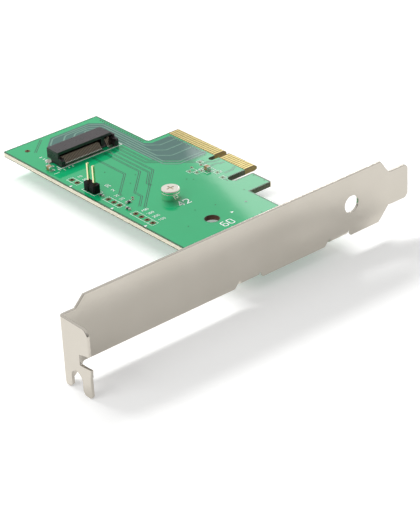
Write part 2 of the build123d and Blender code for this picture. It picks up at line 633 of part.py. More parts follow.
save("capacitor_end_caps", *[end for _, ends in capacitors for end in ends])
save("resistor_bodies", *[body for body, _ in resistors])
save("resistor_end_caps", *[end for _, ends in resistors for end in ends])
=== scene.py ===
import math

import bmesh
import bpy
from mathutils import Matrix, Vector
from mathutils.bvhtree import BVHTree


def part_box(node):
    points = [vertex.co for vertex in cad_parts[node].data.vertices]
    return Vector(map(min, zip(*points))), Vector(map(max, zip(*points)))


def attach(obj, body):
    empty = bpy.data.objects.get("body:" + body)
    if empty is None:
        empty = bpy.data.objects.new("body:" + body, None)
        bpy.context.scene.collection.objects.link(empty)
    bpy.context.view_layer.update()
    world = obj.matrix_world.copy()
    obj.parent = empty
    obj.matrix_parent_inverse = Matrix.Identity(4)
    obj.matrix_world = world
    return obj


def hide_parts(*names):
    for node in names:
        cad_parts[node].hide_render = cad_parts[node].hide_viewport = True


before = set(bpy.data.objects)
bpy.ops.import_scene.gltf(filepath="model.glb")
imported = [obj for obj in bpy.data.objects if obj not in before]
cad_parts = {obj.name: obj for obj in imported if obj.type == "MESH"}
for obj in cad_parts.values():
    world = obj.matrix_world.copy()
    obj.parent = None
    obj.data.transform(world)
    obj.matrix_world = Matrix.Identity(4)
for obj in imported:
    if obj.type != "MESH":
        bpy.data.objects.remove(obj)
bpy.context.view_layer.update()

MM = 0.001

# Studio
# A pale floor under the card, a wide soft lamp behind it and a weaker one on the left, as for a
# catalogue picture. A low panel behind on the right puts the pale sheen on that end of the board.


def linear(code):
    """An sRGB hex colour as linear red, green, blue and alpha."""
    shares = [int(code[i:i + 2], 16) / 255 for i in (1, 3, 5)]
    return (*[s / 12.92 if s <= 0.04045 else ((s + 0.055) / 1.055) ** 2.4 for s in shares], 1)


def add(tree, kind, inputs=(), **settings):
    """Adds a shader node, with its settings and with a value or a link for each input that is named."""
    made = tree.nodes.new("ShaderNode" + kind)
    for name, value in settings.items():
        setattr(made, name, value)
    for socket, value in dict(inputs).items():
        if isinstance(value, bpy.types.NodeSocket):
            tree.links.new(value, made.inputs[socket])
        else:
            made.inputs[socket].default_value = value
    return made


def new_material(name):
    """An empty material and its node tree."""
    material = bpy.data.materials.new(name)
    material.use_nodes = True
    material.node_tree.nodes.clear()
    return material, material.node_tree


def put_in_scene(name, data):
    """A new object in the scene, for a mesh, a lamp or a camera."""
    made = bpy.data.objects.new(name, data)
    bpy.context.scene.collection.objects.link(made)
    return made


scene = bpy.context.scene
scene.view_settings.view_transform = "Standard"

# The camera was solved from the photograph: its place in mm, its turn in degrees, its lens in mm.
CAMERA_PLACE = (-299.22, -401.94, 270.63)
CAMERA_TURN = (60.672, 2.504, -40.472)
CAMERA_LENS = 137.91
camera_data = bpy.data.cameras.new("camera")
camera = put_in_scene("camera", camera_data)
camera.location = Vector(CAMERA_PLACE) * MM
camera.rotation_euler = [math.radians(a) for a in CAMERA_TURN]
camera_data.lens = CAMERA_LENS
camera_data.clip_end = 10
scene.camera = camera


def seen_directly(tree):
    """1 where the camera or a mirrored ray meets the surface, 0 for light that falls on the object."""
    path = add(tree, "LightPath")
    seen = path.outputs["Is Camera Ray"]
    for kind in ("Is Glossy Ray", "Is Transmission Ray"):
        seen = add(tree, "Math", {0: seen, 1: path.outputs[kind]}, operation="MAXIMUM").outputs[0]
    return seen


# The room is pale behind and above the card and dim on the near side.
ROOM_PALE_SIDE = Vector((0.45, 0.55, 0.7)).normalized()
ROOM_TURN = (-0.5, 0.6)
ROOM_LEVEL = (0.05, 0.45)
ROOM_LIFT = 0.9
world = bpy.data.worlds.new("soft_room")
world.use_nodes = True
scene.world = world
tree = world.node_tree
tree.nodes.clear()
place = add(tree, "TexCoord")
side = add(tree, "VectorMath", {0: place.outputs["Generated"], 1: ROOM_PALE_SIDE}, operation="DOT_PRODUCT")
level = add(tree, "MapRange", {"Value": side.outputs["Value"],
                               "From Min": ROOM_TURN[0], "From Max": ROOM_TURN[1],
                               "To Min": ROOM_LEVEL[0], "To Max": ROOM_LEVEL[1]})
lift = add(tree, "Math", {0: seen_directly(tree), 1: ROOM_LIFT, 2: 1}, operation="MULTIPLY_ADD")
strength = add(tree, "Math", {0: level.outputs[0], 1: lift.outputs[0]}, operation="MULTIPLY")
room = add(tree, "Background", {"Color": (1, 1, 1, 1), "Strength": strength.outputs[0]})
add(tree, "OutputWorld", {"Surface": room.outputs[0]})


def soft_lamp(name, place, aim, width, height, power, mirrored=False):
    """A soft box. Unless it is mirrored, it only lights, and the room and floor make the reflections."""
    lamp = bpy.data.lights.new(name, "AREA")
    lamp.shape = "RECTANGLE"
    lamp.size = width
    lamp.size_y = height
    lamp.energy = power
    made = put_in_scene(name, lamp)
    made.location = place
    made.rotation_euler = (Vector(aim) - Vector(place)).to_track_quat("-Z", "Y").to_euler()
    made.visible_camera = False
    made.visible_glossy = mirrored
    return made


SHEEN_SPOT = (0.3076, 0.262)
SHEEN_HEIGHT = 0.20
SHEEN_TURN = -18
soft_lamp("key_lamp", place=(0.10, 0.66, 0.60), aim=(0, 0, 0), width=0.8, height=0.16, power=7.2)
soft_lamp("left_lamp", place=(-0.5, 0.02, 0.36), aim=(0, 0, 0), width=0.4, height=0.3, power=1.1)
panel = soft_lamp("sheen_panel", place=(*SHEEN_SPOT, SHEEN_HEIGHT), aim=(*SHEEN_SPOT, 0),
                  width=0.09, height=0.12, power=0.068, mirrored=True)
panel.rotation_euler.z = math.radians(SHEEN_TURN)

# Matt white paper. Where it is seen, and not where it lights the card, it is lifted to white.
FLOOR_LIFT = 0.36
material, tree = new_material("pale_floor")
lift = add(tree, "Math", {0: seen_directly(tree), 1: FLOOR_LIFT}, operation="MULTIPLY")
paper = add(tree, "BsdfPrincipled", {"Base Color": linear("#ECECEB"), "Roughness": 1,
                                     "Specular IOR Level": 0, "Emission Color": (1, 1, 1, 1),
                                     "Emission Strength": lift.outputs[0]})
add(tree, "OutputMaterial", {"Surface": paper.outputs[0]})

FLOOR_HALF = 3.0
mesh = bpy.data.meshes.new("floor")
mesh.from_pydata([(x * FLOOR_HALF, y * FLOOR_HALF, 0) for x, y in ((-1, -1), (1, -1), (1, 1), (-1, 1))],
                 [], [(0, 1, 2, 3)])
mesh.materials.append(material)
floor = put_in_scene("floor", mesh)

# Slot bracket
# One sheet of steel, stamped and folded, with its screw tab, tongue and two ears under the board.
# Satin nickel plating: a grey, slightly warm metal whose edges were rolled over by the stamping.

SAME_PLACE = 1e-7
FLAT_WITHIN = math.radians(0.3)
SHARP_FROM = math.radians(25)
BEVEL_STRAY = 0.6


def mesh_of(shape, name):
    """The built shape as a mesh. The shape itself is let go."""
    mesh = bpy.data.meshes.new(name)
    shape.to_mesh(mesh)
    shape.free()
    return mesh


def coat(piece, finish):
    """Gives the piece this one material."""
    piece.data.materials.clear()
    piece.data.materials.append(finish)


def rounded_copy(node, name, finish, radius, shortest=0.0):
    """A copy of a CAD node with its sharp edges rounded, which stands for the node."""
    shape = bmesh.new()
    shape.from_mesh(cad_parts[node].data)
    bmesh.ops.remove_doubles(shape, verts=shape.verts, dist=SAME_PLACE)
    bmesh.ops.dissolve_limit(shape, angle_limit=FLAT_WITHIN, verts=shape.verts, edges=shape.edges)
    sharp = [e for e in shape.edges if e.is_manifold and e.calc_length() > shortest
             and e.calc_face_angle() > SHARP_FROM]
    skin = BVHTree.FromBMesh(shape)
    bmesh.ops.bevel(shape, geom=sharp, offset=radius, segments=2, profile=0.6, affect="EDGES",
                    clamp_overlap=False)
    # A vertex that the bevel threw far goes back onto the node, and none leaves the node's box.
    for vert in shape.verts:
        near, _, _, gap = skin.find_nearest(vert.co)
        if gap > BEVEL_STRAY * radius:
            vert.co = near
    low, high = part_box(node)
    for vert in shape.verts:
        vert.co = [min(max(c, least), most) for c, least, most in zip(vert.co, low, high)]
    mesh = mesh_of(shape, name)
    mesh.shade_smooth()
    made = put_in_scene(name, mesh)
    made.modifiers.new("even_shade", "WEIGHTED_NORMAL").keep_sharp = True
    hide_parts(node)
    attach(made, "root")
    coat(made, finish)
    return made


METAL_CLOUD = 9 * MM
METAL_GLOSS_SPREAD = 0.15
NOISE_SPAN = (0.3, 0.7)


def plated_metal(name, colour, roughness, grain_mm, grain_height_mm):
    """Plated metal: the plating's fine grain shows as small changes of gloss and of the normal."""
    material, tree = new_material(name)
    place = add(tree, "TexCoord")
    grain = add(tree, "TexNoise", {"Vector": place.outputs["Object"], "Scale": 1 / (grain_mm * MM),
                                   "Detail": 3, "Roughness": 0.6})
    cloud = add(tree, "TexNoise", {"Vector": place.outputs["Object"], "Scale": 1 / METAL_CLOUD,
                                   "Detail": 2})
    tint = add(tree, "MixRGB", {0: cloud.outputs["Fac"], 1: linear(colour[0]), 2: linear(colour[1])})
    gloss = add(tree, "MapRange", {"Value": grain.outputs["Fac"],
                                   "From Min": NOISE_SPAN[0], "From Max": NOISE_SPAN[1],
                                   "To Min": roughness * (1 - METAL_GLOSS_SPREAD),
                                   "To Max": roughness * (1 + METAL_GLOSS_SPREAD)})
    bump = add(tree, "Bump", {"Height": grain.outputs["Fac"], "Distance": grain_height_mm * MM,
                              "Strength": 1})
    metal = add(tree, "BsdfPrincipled", {"Base Color": tint.outputs[0], "Metallic": 1,
                                         "Roughness": gloss.outputs[0], "Normal": bump.outputs[0]})
    add(tree, "OutputMaterial", {"Surface": metal.outputs[0]})
    return material


# Satin nickel. The real grain is finer than the picture can show, so it is drawn at 0.9 mm.
satin_nickel = plated_metal("satin_nickel", ("#CCC6BC", "#C3BDB2"), roughness=0.12, grain_mm=0.9,
                            grain_height_mm=0.035)
bracket = rounded_copy("slot_bracket", "folded_bracket", satin_nickel, radius=0.14 * MM)

# Circuit board
# Glass-fibre laminate, routed to shape, with glossy green solder mask on both faces. The cut edge is
# bare and cream, with dark copper layers close to the faces, and the mask stops before the contacts.
# The cut sides that face along the bracket's axis are painted dark, which is painted shade.

board_low, board_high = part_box("circuit_board")
board_middle = (board_low.z + board_high.z) / 2
half_thickness = (board_high.z - board_low.z) / 2
contacts_low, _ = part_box("edge_contacts_top")
MASK_CLEARANCE = 0.15 * MM
MASK_STOP = contacts_low.x - MASK_CLEARANCE
MASK_GREEN = ("#14B072", "#11A769")
MASK_CLOUD = 14 * MM
MASK_RIPPLE = 2.5 * MM
MASK_RIPPLE_HEIGHT = 0.003 * MM


def lacquer(tree, colours):
    """Solder mask: a clear, levelled lacquer, so very smooth, with faint clouds of colour."""
    place = add(tree, "TexCoord")
    cloud = add(tree, "TexNoise", {"Vector": place.outputs["Object"], "Scale": 1 / MASK_CLOUD, "Detail": 2})
    wave = add(tree, "TexNoise", {"Vector": place.outputs["Object"], "Scale": 1 / MASK_RIPPLE, "Detail": 1})
    tint = add(tree, "MixRGB", {0: cloud.outputs["Fac"], 1: linear(colours[0]), 2: linear(colours[1])})
    bump = add(tree, "Bump", {"Height": wave.outputs["Fac"], "Distance": MASK_RIPPLE_HEIGHT, "Strength": 1})
    return add(tree, "BsdfPrincipled", {"Base Color": tint.outputs[0], "Roughness": 0.07, "IOR": 1.52,
                                        "Normal": bump.outputs[0]})


# Masked laminate. A cut through it shows cream layers of glass cloth, frayed dark near the faces.
GLASS_LAYER = 0.2 * MM
COPPER_DEPTH = 0.2 * MM
FRAY_SIZE = 0.7 * MM
FRAY_DEPTH = 0.3 * MM
STRIPE_AT_SCALE_ONE = 0.314
material, tree = new_material("masked_laminate")
mask = lacquer(tree, MASK_GREEN)
place = add(tree, "TexCoord")
axes = add(tree, "SeparateXYZ", {0: place.outputs["Object"]})
layers = add(tree, "TexWave", {"Vector": place.outputs["Object"],
                               "Scale": STRIPE_AT_SCALE_ONE / GLASS_LAYER,
                               "Distortion": 1.5, "Detail": 2}, bands_direction="Z")
cut_tint = add(tree, "MixRGB", {0: layers.outputs["Fac"], 1: linear("#FFFCF0"), 2: linear("#F2E8C4")})
from_middle = add(tree, "Math", {0: axes.outputs["Z"], 1: board_middle}, operation="SUBTRACT")
depth = add(tree, "Math", {0: from_middle.outputs[0]}, operation="ABSOLUTE")
fray = add(tree, "TexNoise", {"Vector": place.outputs["Object"], "Scale": 1 / FRAY_SIZE, "Detail": 2})
ragged = add(tree, "Math", {0: fray.outputs["Fac"], 1: FRAY_DEPTH, 2: depth.outputs[0]},
             operation="MULTIPLY_ADD")
near_face = add(tree, "Math", {0: ragged.outputs[0], 1: half_thickness - COPPER_DEPTH + FRAY_DEPTH / 2},
                operation="GREATER_THAN")
edge_tint = add(tree, "MixRGB", {0: near_face.outputs[0], 1: cut_tint.outputs[0], 2: linear("#3B3A1C")})

# The sides that face toward the bracket and away from it are painted dark: painted shade, as these
# sides stand in shade. The router's marks on them run upright.
ROUTER_MARK = 0.55 * MM
facing = add(tree, "SeparateXYZ", {0: place.outputs["Normal"]})
marks = add(tree, "TexWave", {"Vector": place.outputs["Object"],
                              "Scale": STRIPE_AT_SCALE_ONE / ROUTER_MARK,
                              "Distortion": 1, "Detail": 1}, bands_direction="X")
routed_side_shade = add(tree, "MixRGB", {0: marks.outputs["Fac"], 1: linear("#2C3A26"), 2: linear("#66704C")})
along = add(tree, "Math", {0: facing.outputs["Y"]}, operation="ABSOLUTE")
faces_along_bracket_axis = add(tree, "Math", {0: along.outputs[0], 1: 0.5}, operation="GREATER_THAN")
side_tint = add(tree, "MixRGB", {0: faces_along_bracket_axis.outputs[0], 1: edge_tint.outputs[0],
                                 2: routed_side_shade.outputs[0]})
past_mask = add(tree, "Math", {0: axes.outputs["X"], 1: MASK_STOP}, operation="GREATER_THAN")
blade_tint = add(tree, "MixRGB", {0: past_mask.outputs[0], 1: side_tint.outputs[0], 2: linear("#A8924E")})

# The wall of the hole for a longer drive is painted brown: painted shade for the inside of the hole.
# The laminate past the mask is bare.
LONG_HOLE = (16.6, 28.8)
LONG_HOLE_REACH = 2.4 * MM
CLOTH_WEAVE = 0.5 * MM
hole_middle = (board_low.x + LONG_HOLE[0] * MM, board_low.y + LONG_HOLE[1] * MM, 0)
flat = add(tree, "VectorMath", {0: place.outputs["Object"], 1: (1, 1, 0)}, operation="MULTIPLY")
reach = add(tree, "VectorMath", {0: flat.outputs[0], 1: hole_middle}, operation="DISTANCE")
in_shaded_hole = add(tree, "Math", {0: reach.outputs["Value"], 1: LONG_HOLE_REACH}, operation="LESS_THAN")
all_tint = add(tree, "MixRGB", {0: in_shaded_hole.outputs[0], 1: blade_tint.outputs[0], 2: linear("#6A4A3C")})
cut = add(tree, "BsdfPrincipled", {"Base Color": all_tint.outputs[0], "Roughness": 0.55})
weave = add(tree, "TexChecker", {"Vector": place.outputs["Object"], "Scale": 1 / CLOTH_WEAVE,
                                 "Color1": linear("#5E451F"), "Color2": linear("#523A18")})
bare = add(tree, "BsdfPrincipled", {"Base Color": weave.outputs["Color"], "Roughness": 0.5})
face = add(tree, "MixShader", {0: past_mask.outputs[0], 1: mask.outputs[0], 2: bare.outputs[0]})
tilt = add(tree, "Math", {0: facing.outputs["Z"]}, operation="ABSOLUTE")
is_side = add(tree, "Math", {0: tilt.outputs[0], 1: 0.5}, operation="LESS_THAN")
whole = add(tree, "MixShader", {0: is_side.outputs[0], 1: face.outputs[0], 2: cut.outputs[0]})
add(tree, "OutputMaterial", {"Surface": whole.outputs[0]})
coat(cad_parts["circuit_board"], material)

# Tracks
# Etched copper under the mask. The copper lies pale under the green, and where it was etched away the
# dark laminate shows: as wide fields round the fast pairs, and as two thin lines beside a single track.


def on_board(u, v, lift):
    """A place on the top face: u mm from the left edge, v mm from the near edge, lift mm above it."""
    return Vector((board_low.x + u * MM, board_low.y + v * MM, board_high.z + lift * MM))


LEAST_MITRE = 0.4


def beside(path, shift):
    """The path moved sideways, with mitred corners. A path that ends where it starts is closed."""
    closed = path[0] == path[-1]
    points = [Vector(p) for p in path]
    moved = []
    for i, point in enumerate(points):
        if i == 0:
            before = point - points[-2] if closed else points[1] - point
        else:
            before = point - points[i - 1]
        if i == len(points) - 1:
            after = points[1] - point if closed else before
        else:
            after = points[i + 1] - point
        sides = [Vector((-d.y, d.x)).normalized() for d in (before, after)]
        middle = (sides[0] + sides[1]).normalized()
        moved.append(point + middle * shift / max(middle.dot(sides[0]), LEAST_MITRE))
    return moved


ARC_STEPS = 6
ARC_SHARE = 0.49
SHORTEST_ARC = 0.01


def bent(corners, radius):
    """The path through the corners, with each corner drawn as an arc. A corner may have its own radius."""
    points = [tuple(corners[0][:2])]
    for i in range(1, len(corners) - 1):
        before, here, after = (Vector(c[:2]) for c in corners[i - 1:i + 2])
        own = corners[i][2] if len(corners[i]) > 2 else radius
        back, on = (before - here), (after - here)
        half = back.angle(on) / 2
        reach = min(own / math.tan(half), ARC_SHARE * back.length, ARC_SHARE * on.length)
        if reach < SHORTEST_ARC:
            points.append(tuple(here))
            continue
        start, end = here + back.normalized() * reach, here + on.normalized() * reach
        for k in range(ARC_STEPS + 1):
            t = k / ARC_STEPS
            points.append(tuple(start * (1 - t) ** 2 + here * 2 * t * (1 - t) + end * t ** 2))
    points.append(tuple(corners[-1][:2]))
    return points


def lay_on_board(shape, name, material):
    """Puts a finished shape on the board as a piece of its own."""
    bmesh.ops.recalc_face_normals(shape, faces=shape.faces)
    mesh = mesh_of(shape, name)
    mesh.materials.append(material)
    made = put_in_scene(name, mesh)
    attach(made, "root")


def ribbons(name, strips, lift, height, material):
    """Flat raised lines on the board: each strip is a path and its width in mm."""
    shape = bmesh.new()
    for path, width in strips:
        slope = min(height, width / 4)
        rows = []
        for shift, level in ((width / 2, 0), (width / 2 - slope, height), (slope - width / 2, height),
                             (-width / 2, 0)):
            rows.append([shape.verts.new(on_board(p[0], p[1], lift + level)) for p in beside(path, shift)])
        for one, other in zip(rows, rows[1:]):
            for i in range(len(one) - 1):
                shape.faces.new((one[i], other[i], other[i + 1], one[i + 1]))
        if path[0] != path[-1]:
            shape.faces.new([row[0] for row in rows])
            shape.faces.new([row[-1] for row in reversed(rows)])
    lay_on_board(shape, name, material)


def plate(name, outlines, lift, height, material):
    """Flat raised patches on the board, one for each outline."""
    shape = bmesh.new()
    for outline in outlines:
        low = [shape.verts.new(on_board(*p, lift)) for p in outline]
        high = [shape.verts.new(on_board(*p, lift + height)) for p in outline]
        shape.faces.new(high)
        for i in range(len(low)):
            shape.faces.new((low[i - 1], low[i], high[i], high[i - 1]))
    lay_on_board(shape, name, material)


def mask_over(name, colours):
    """The glossy solder mask with the colour of what lies under it."""
    material, tree = new_material(name)
    add(tree, "OutputMaterial", {"Surface": lacquer(tree, colours).outputs[0]})
    return material


# The mask over bare laminate, over laminate without inner planes, over a thin gap, and over copper.
over_laminate = mask_over("mask_over_laminate", ("#0F4E30", "#165838"))
over_thin_board = mask_over("mask_over_laminate_without_planes", ("#2F6058", "#3C6C63"))
over_etched_gap = mask_over("mask_over_etched_gap", ("#1D463C", "#285247"))
over_copper = mask_over("mask_over_track", ("#5F8F7D", "#6C9A88"))

# From here on, places are u, v pairs in mm on the board's top face, and lengths are mm too.
FIELD_OUTLINE = [(10.6, 93.0), (10.6, 97.9), (15.6, 102.9), (30.0, 102.9), (33.4, 99.5), (33.4, 79.9),
                 (35.1, 78.2), (42.3, 78.2), (42.3, 61.2), (35.6, 61.2), (28.2, 68.6), (28.2, 93.0)]
plate("fast_pair_field", [FIELD_OUTLINE], lift=0.002, height=0.004, material=over_thin_board)

# Each pair leaves the connector at one u, runs along the far edge and the right edge, and turns to its
# contacts at one v.
PAIR_ROUTES = ((12.6, 32.7, 75.3), (16.6, 31.7, 71.4), (19.6, 30.7, 67.4), (22.6, 29.7, 62.9),
               (25.6, 28.7, 61.5))
PAIR_START = 93.0
PAIR_END = 42.0
FAR_LANE = 102.0
PAIR_TURN = 3.2
PAIR_BEND = 1.6
PAIR_WIDTH = 0.5
lanes = []
for i, (start, lane, contact) in enumerate(PAIR_ROUTES):
    back = FAR_LANE - i
    corners = [(start, PAIR_START), (start, back - PAIR_TURN), (start + PAIR_TURN, back),
               (lane - PAIR_TURN, back), (lane, back - PAIR_TURN), (lane, contact + PAIR_TURN),
               (lane + PAIR_TURN, contact), (PAIR_END, contact)]
    lanes.append((bent(corners, PAIR_BEND), PAIR_WIDTH))
ribbons("fast_pairs", lanes, lift=0.006, height=0.03, material=over_copper)

SINGLE_ROUTES = (
    [(16.5, 83.0), (16.5, 67.8), (7.4, 58.7), (7.4, 57.6)],
    [(20.6, 83.0), (20.6, 65.9), (11.2, 56.5), (11.2, 53.3), (6.9, 48.9)],
    [(24.0, 83.0), (24.0, 64.0), (7.4, 47.2)],
    [(22.2, 83.0), (22.2, 63.6), (17.4, 58.6), (17.4, 56.6)],
    [(25.6, 83.0), (25.6, 69.4), (36.6, 58.4), (38.4, 58.4)],
    [(27.0, 83.0), (27.0, 69.7), (35.9, 60.7), (41.6, 60.7)],
    [(6.4, 98.0), (12.9, 104.0)],
    [(36.0, 56.6), (38.8, 56.6), (40.0, 55.4), (42.4, 55.4)],
    [(36.6, 54.0), (39.8, 54.0), (40.6, 53.2), (42.2, 53.2)],
    [(37.4, 47.6), (40.6, 47.6), (41.4, 48.4), (42.4, 48.4)],
)
SINGLE_BEND = 0.3
GAP_WIDTH = 0.2
GAP_SHIFT = 0.26
gaps = []
for route in SINGLE_ROUTES:
    for side in (-GAP_SHIFT, GAP_SHIFT):
        gaps.append(([tuple(q) for q in beside(bent(route, SINGLE_BEND), side)], GAP_WIDTH))
ribbons("single_track_gaps", gaps, lift=0.008, height=0.004, material=over_etched_gap)

# The copper plane stops short of the board's outline: its wide corner, right edge, tail and blade.
BOARD_RIGHT = 35.1
BOARD_FAR = 105.4
WIDE_RIGHT = 40.8
WIDE_FAR = 11.9
SLOPE_FAR = 17.6
TAIL_RIGHT = 43.3
TAIL_NEAR, TAIL_FAR = 33.95, 41.85
SLOT_LEFT, SLOT_RIGHT, SLOT_MIDDLE = 34.9, 36.2, 43.2
BLADE_NEAR, BLADE_FAR = 44.85, 80.05
BLADE_CORNER = (35.4, 80.35)
BORDER_END = 42.4
BORDER = 0.25
BORDER_WIDTH = 0.36
right, far = BOARD_RIGHT - BORDER, BOARD_FAR - BORDER
wide, tail = WIDE_RIGHT - BORDER, TAIL_RIGHT - BORDER
border = [[(BORDER, BORDER), (wide, BORDER), (wide, WIDE_FAR - BORDER / 2), (right, SLOPE_FAR - BORDER / 2),
           (right, TAIL_NEAR + BORDER), (tail, TAIL_NEAR + BORDER), (tail, TAIL_FAR - BORDER),
           (SLOT_RIGHT, TAIL_FAR - BORDER)],
          [(SLOT_LEFT, SLOT_MIDDLE), (SLOT_LEFT, BLADE_NEAR + BORDER), (BORDER_END, BLADE_NEAR + BORDER)],
          [(BORDER_END, BLADE_FAR - BORDER), (BLADE_CORNER[0], BLADE_FAR - BORDER),
           (right, BLADE_CORNER[1]), (right, far), (BORDER, far), (BORDER, BORDER)]]
ribbons("plane_border", [(line, BORDER_WIDTH) for line in border], lift=0.004, height=0.004,
        material=over_laminate)

# A tuned track zigzags beside the plane's border.
ZIGZAG_SIDES = (33.7, 34.3)
ZIGZAG_START = 80.8
ZIGZAG_PITCH = 0.55
ZIGZAG_TURNS = 40
ZIGZAG_WIDTH = 0.22
zigzag = [(ZIGZAG_SIDES[k % 2], ZIGZAG_START + k * ZIGZAG_PITCH) for k in range(ZIGZAG_TURNS)]
ribbons("tuned_track", [(zigzag, ZIGZAG_WIDTH)], lift=0.008, height=0.004, material=over_etched_gap)

DISC_SIDES = 20


def disc(u, v, radius):
    """The outline of a round patch."""
    turns = [math.tau * k / DISC_SIDES for k in range(DISC_SIDES)]
    return [(u + radius * math.cos(turn), v + radius * math.sin(turn)) for turn in turns]


# Small plated vias: a pale ring under the mask with a dark dimple. The first ones stand staggered at
# the contacts, on two lines, and the lone ones have a dimple only.
CONTACT_PITCH = 1.0
CONTACT_VIA_COUNT = 16
CONTACT_VIA_LINES = (42.2, 41.7)
CONTACT_VIA_START = 62.6
OPEN_VIAS = [(35.9, 56.4), (33.6, 53.4), (32.0, 53.6), (36.2, 49.4), (35.2, 45.9)]
RINGED_VIAS = [(CONTACT_VIA_LINES[k % 2], CONTACT_VIA_START + CONTACT_PITCH * k)
               for k in range(CONTACT_VIA_COUNT)]
RINGED_VIAS += OPEN_VIAS + [(30.0, 29.8)]
LONE_VIAS = [(42.4, 40.6), (42.4, 35.9), (34.5, 35.7), (13.1, 72.9), (14.0, 62.0), (18.4, 65.2),
             (27.1, 52.4), (28.4, 50.8), (16.5, 36.0), (9.0, 30.0), (22.6, 34.4), (29.0, 22.0),
             (6.0, 14.0), (20.0, 12.0)]
VIA_RING = 0.42
VIA_DIMPLE = 0.2
plate("via_rings", [disc(u, v, VIA_RING) for u, v in RINGED_VIAS], lift=0.03, height=0.008,
      material=over_copper)
plate("via_dimples", [disc(u, v, VIA_DIMPLE) for u, v in RINGED_VIAS + LONE_VIAS], lift=0.04, height=0.004,
      material=over_laminate)

# The hole for a longer drive has a narrow ring of bare board round it, under the mask.
LONG_HOLE_RING = 2.3
LONG_HOLE_RING_WIDTH = 0.22
ring = disc(*LONG_HOLE, LONG_HOLE_RING)
ribbons("long_hole_ring", [(ring + ring[:1], LONG_HOLE_RING_WIDTH)], lift=0.004, height=0.008,
        material=mask_over("mask_over_hole_ring", ("#2E8C63", "#35946A")))

# Open vias and test points: a narrow tinned ring round a dark disc that stands for the hole.
TEST_POINTS = OPEN_VIAS + [(36.9, 58.0), (33.0, 57.2), (30.9, 55.6), (8.9, 54.6), (8.2, 53.6)]
TEST_POINT_HOLE = 0.33
TEST_POINT_RING = 0.46
GRIME_SIZE = 0.3 * MM
material, tree = new_material("open_hole")
place = add(tree, "TexCoord")
grime = add(tree, "TexNoise", {"Vector": place.outputs["Object"], "Scale": 1 / GRIME_SIZE, "Detail": 2})
tint = add(tree, "MixRGB", {0: grime.outputs["Fac"], 1: linear("#0D0A08"), 2: linear("#21170F")})
resin = add(tree, "BsdfPrincipled", {"Base Color": tint.outputs[0], "Roughness": 0.6})
add(tree, "OutputMaterial", {"Surface": resin.outputs[0]})
plate("test_point_holes", [disc(u, v, TEST_POINT_HOLE) for u, v in TEST_POINTS], lift=0.045, height=0.004,
      material=material)
tinned_ring = plated_metal("tinned_ring", ("#E8DFCB", "#D6C9AE"), roughness=0.3, grain_mm=0.2,
                           grain_height_mm=0.01)
plate("test_point_rings", [disc(u, v, TEST_POINT_RING) for u, v in TEST_POINTS], lift=0.03, height=0.012,
      material=tinned_ring)

# White print
# Epoxy ink, screen printed on the mask: part outlines, boxes round the hole rows, and plain numbers.
# It is matt and stands a little above the gloss of the mask.

INK_SPECK = 0.4 * MM
material, tree = new_material("screen_ink")
place = add(tree, "TexCoord")
speck = add(tree, "TexNoise", {"Vector": place.outputs["Object"], "Scale": 1 / INK_SPECK, "Detail": 3})
tint = add(tree, "MixRGB", {0: speck.outputs["Fac"], 1: linear("#FFFFFF"), 2: linear("#E8F2EC")})
ink = add(tree, "BsdfPrincipled", {"Base Color": tint.outputs[0], "Roughness": 0.45})
add(tree, "OutputMaterial", {"Surface": ink.outputs[0]})

# Strokes of digits one unit high. A third value is that corner's own radius.
STROKES = {
    "0": [[(0.3, 1), (0, 1), (0, 0), (0.6, 0), (0.6, 1), (0.3, 1)]],
    "1": [[(0.1, 0.8), (0.35, 1), (0.35, 0)]],
    "2": [[(0, 0.72), (0, 1), (0.6, 1), (0.6, 0.55), (0, 0, 0), (0.6, 0)]],
    "3": [[(0, 1), (0.6, 1), (0.6, 0.52), (0.2, 0.52)], [(0.2, 0.52), (0.6, 0.52), (0.6, 0), (0, 0)]],
    "4": [[(0.45, 0), (0.45, 1, 0), (0, 0.3, 0), (0.62, 0.3)]],
    "6": [[(0.55, 1), (0, 1), (0, 0), (0.6, 0), (0.6, 0.55), (0, 0.55)]],
}
DIGIT_STEP = 0.9
DIGIT_BEND = 0.26


def number(text, u, v, height, stroke, turned=False):
    """Strokes of a plain number that starts at u, v and reads along the bracket, or across it if turned."""
    drawn = []
    for place, digit in enumerate(text):
        for line in STROKES[digit]:
            corners = [((x + DIGIT_STEP * place) * height, y * height, *[r * height for r in rest])
                       for x, y, *rest in line]
            path = bent(corners, DIGIT_BEND * height)
            if turned:
                path = [(-y, x) for x, y in path]
            drawn.append(([(u + x, v + y) for x, y in path], stroke))
    return drawn


def frame_line(u0, u1, v0, v1, stroke):
    """A closed box, begun in the middle of its near side."""
    corners = [(u0, v0), (u1, v0), (u1, v1), (u0, v1)]
    return ([((u0 + u1) / 2, v0), *corners[1:], corners[0], ((u0 + u1) / 2, v0)], stroke)


# The numbers of the two drive lengths, then each hole row: its box, the line that sets its first
# hole apart, and a number beside each hole.
HOLE_LINE = 3.3
HOLE_PITCH = 2.54
HOLE_ROWS = ((75.8, ("10", "20")), (58.6, ("30", "20", "10")), (46.15, ("400", "300", "200", "100")))
BOX_REACH = 1.15
BOX_LINE = 0.13
LABEL_GAP = 2.2
LABEL_DROP = 0.4
box_left, box_right = HOLE_LINE - BOX_REACH, HOLE_LINE + BOX_REACH
printed = number("42", 15.4, 40.6, height=2.5, stroke=0.36)
printed += number("60", 16.2, 22.7, height=2.5, stroke=0.36)
for far, labels in HOLE_ROWS:
    near = far - (len(labels) - 1) * HOLE_PITCH
    printed.append(frame_line(box_left, box_right, near - BOX_REACH, far + BOX_REACH, BOX_LINE))
    printed.append(([(box_left, near + BOX_REACH), (box_right, near + BOX_REACH)], BOX_LINE))
    for i, label in enumerate(labels):
        printed += number(label, HOLE_LINE + LABEL_GAP, far - i * HOLE_PITCH - LABEL_DROP, height=0.9,
                          stroke=0.14)

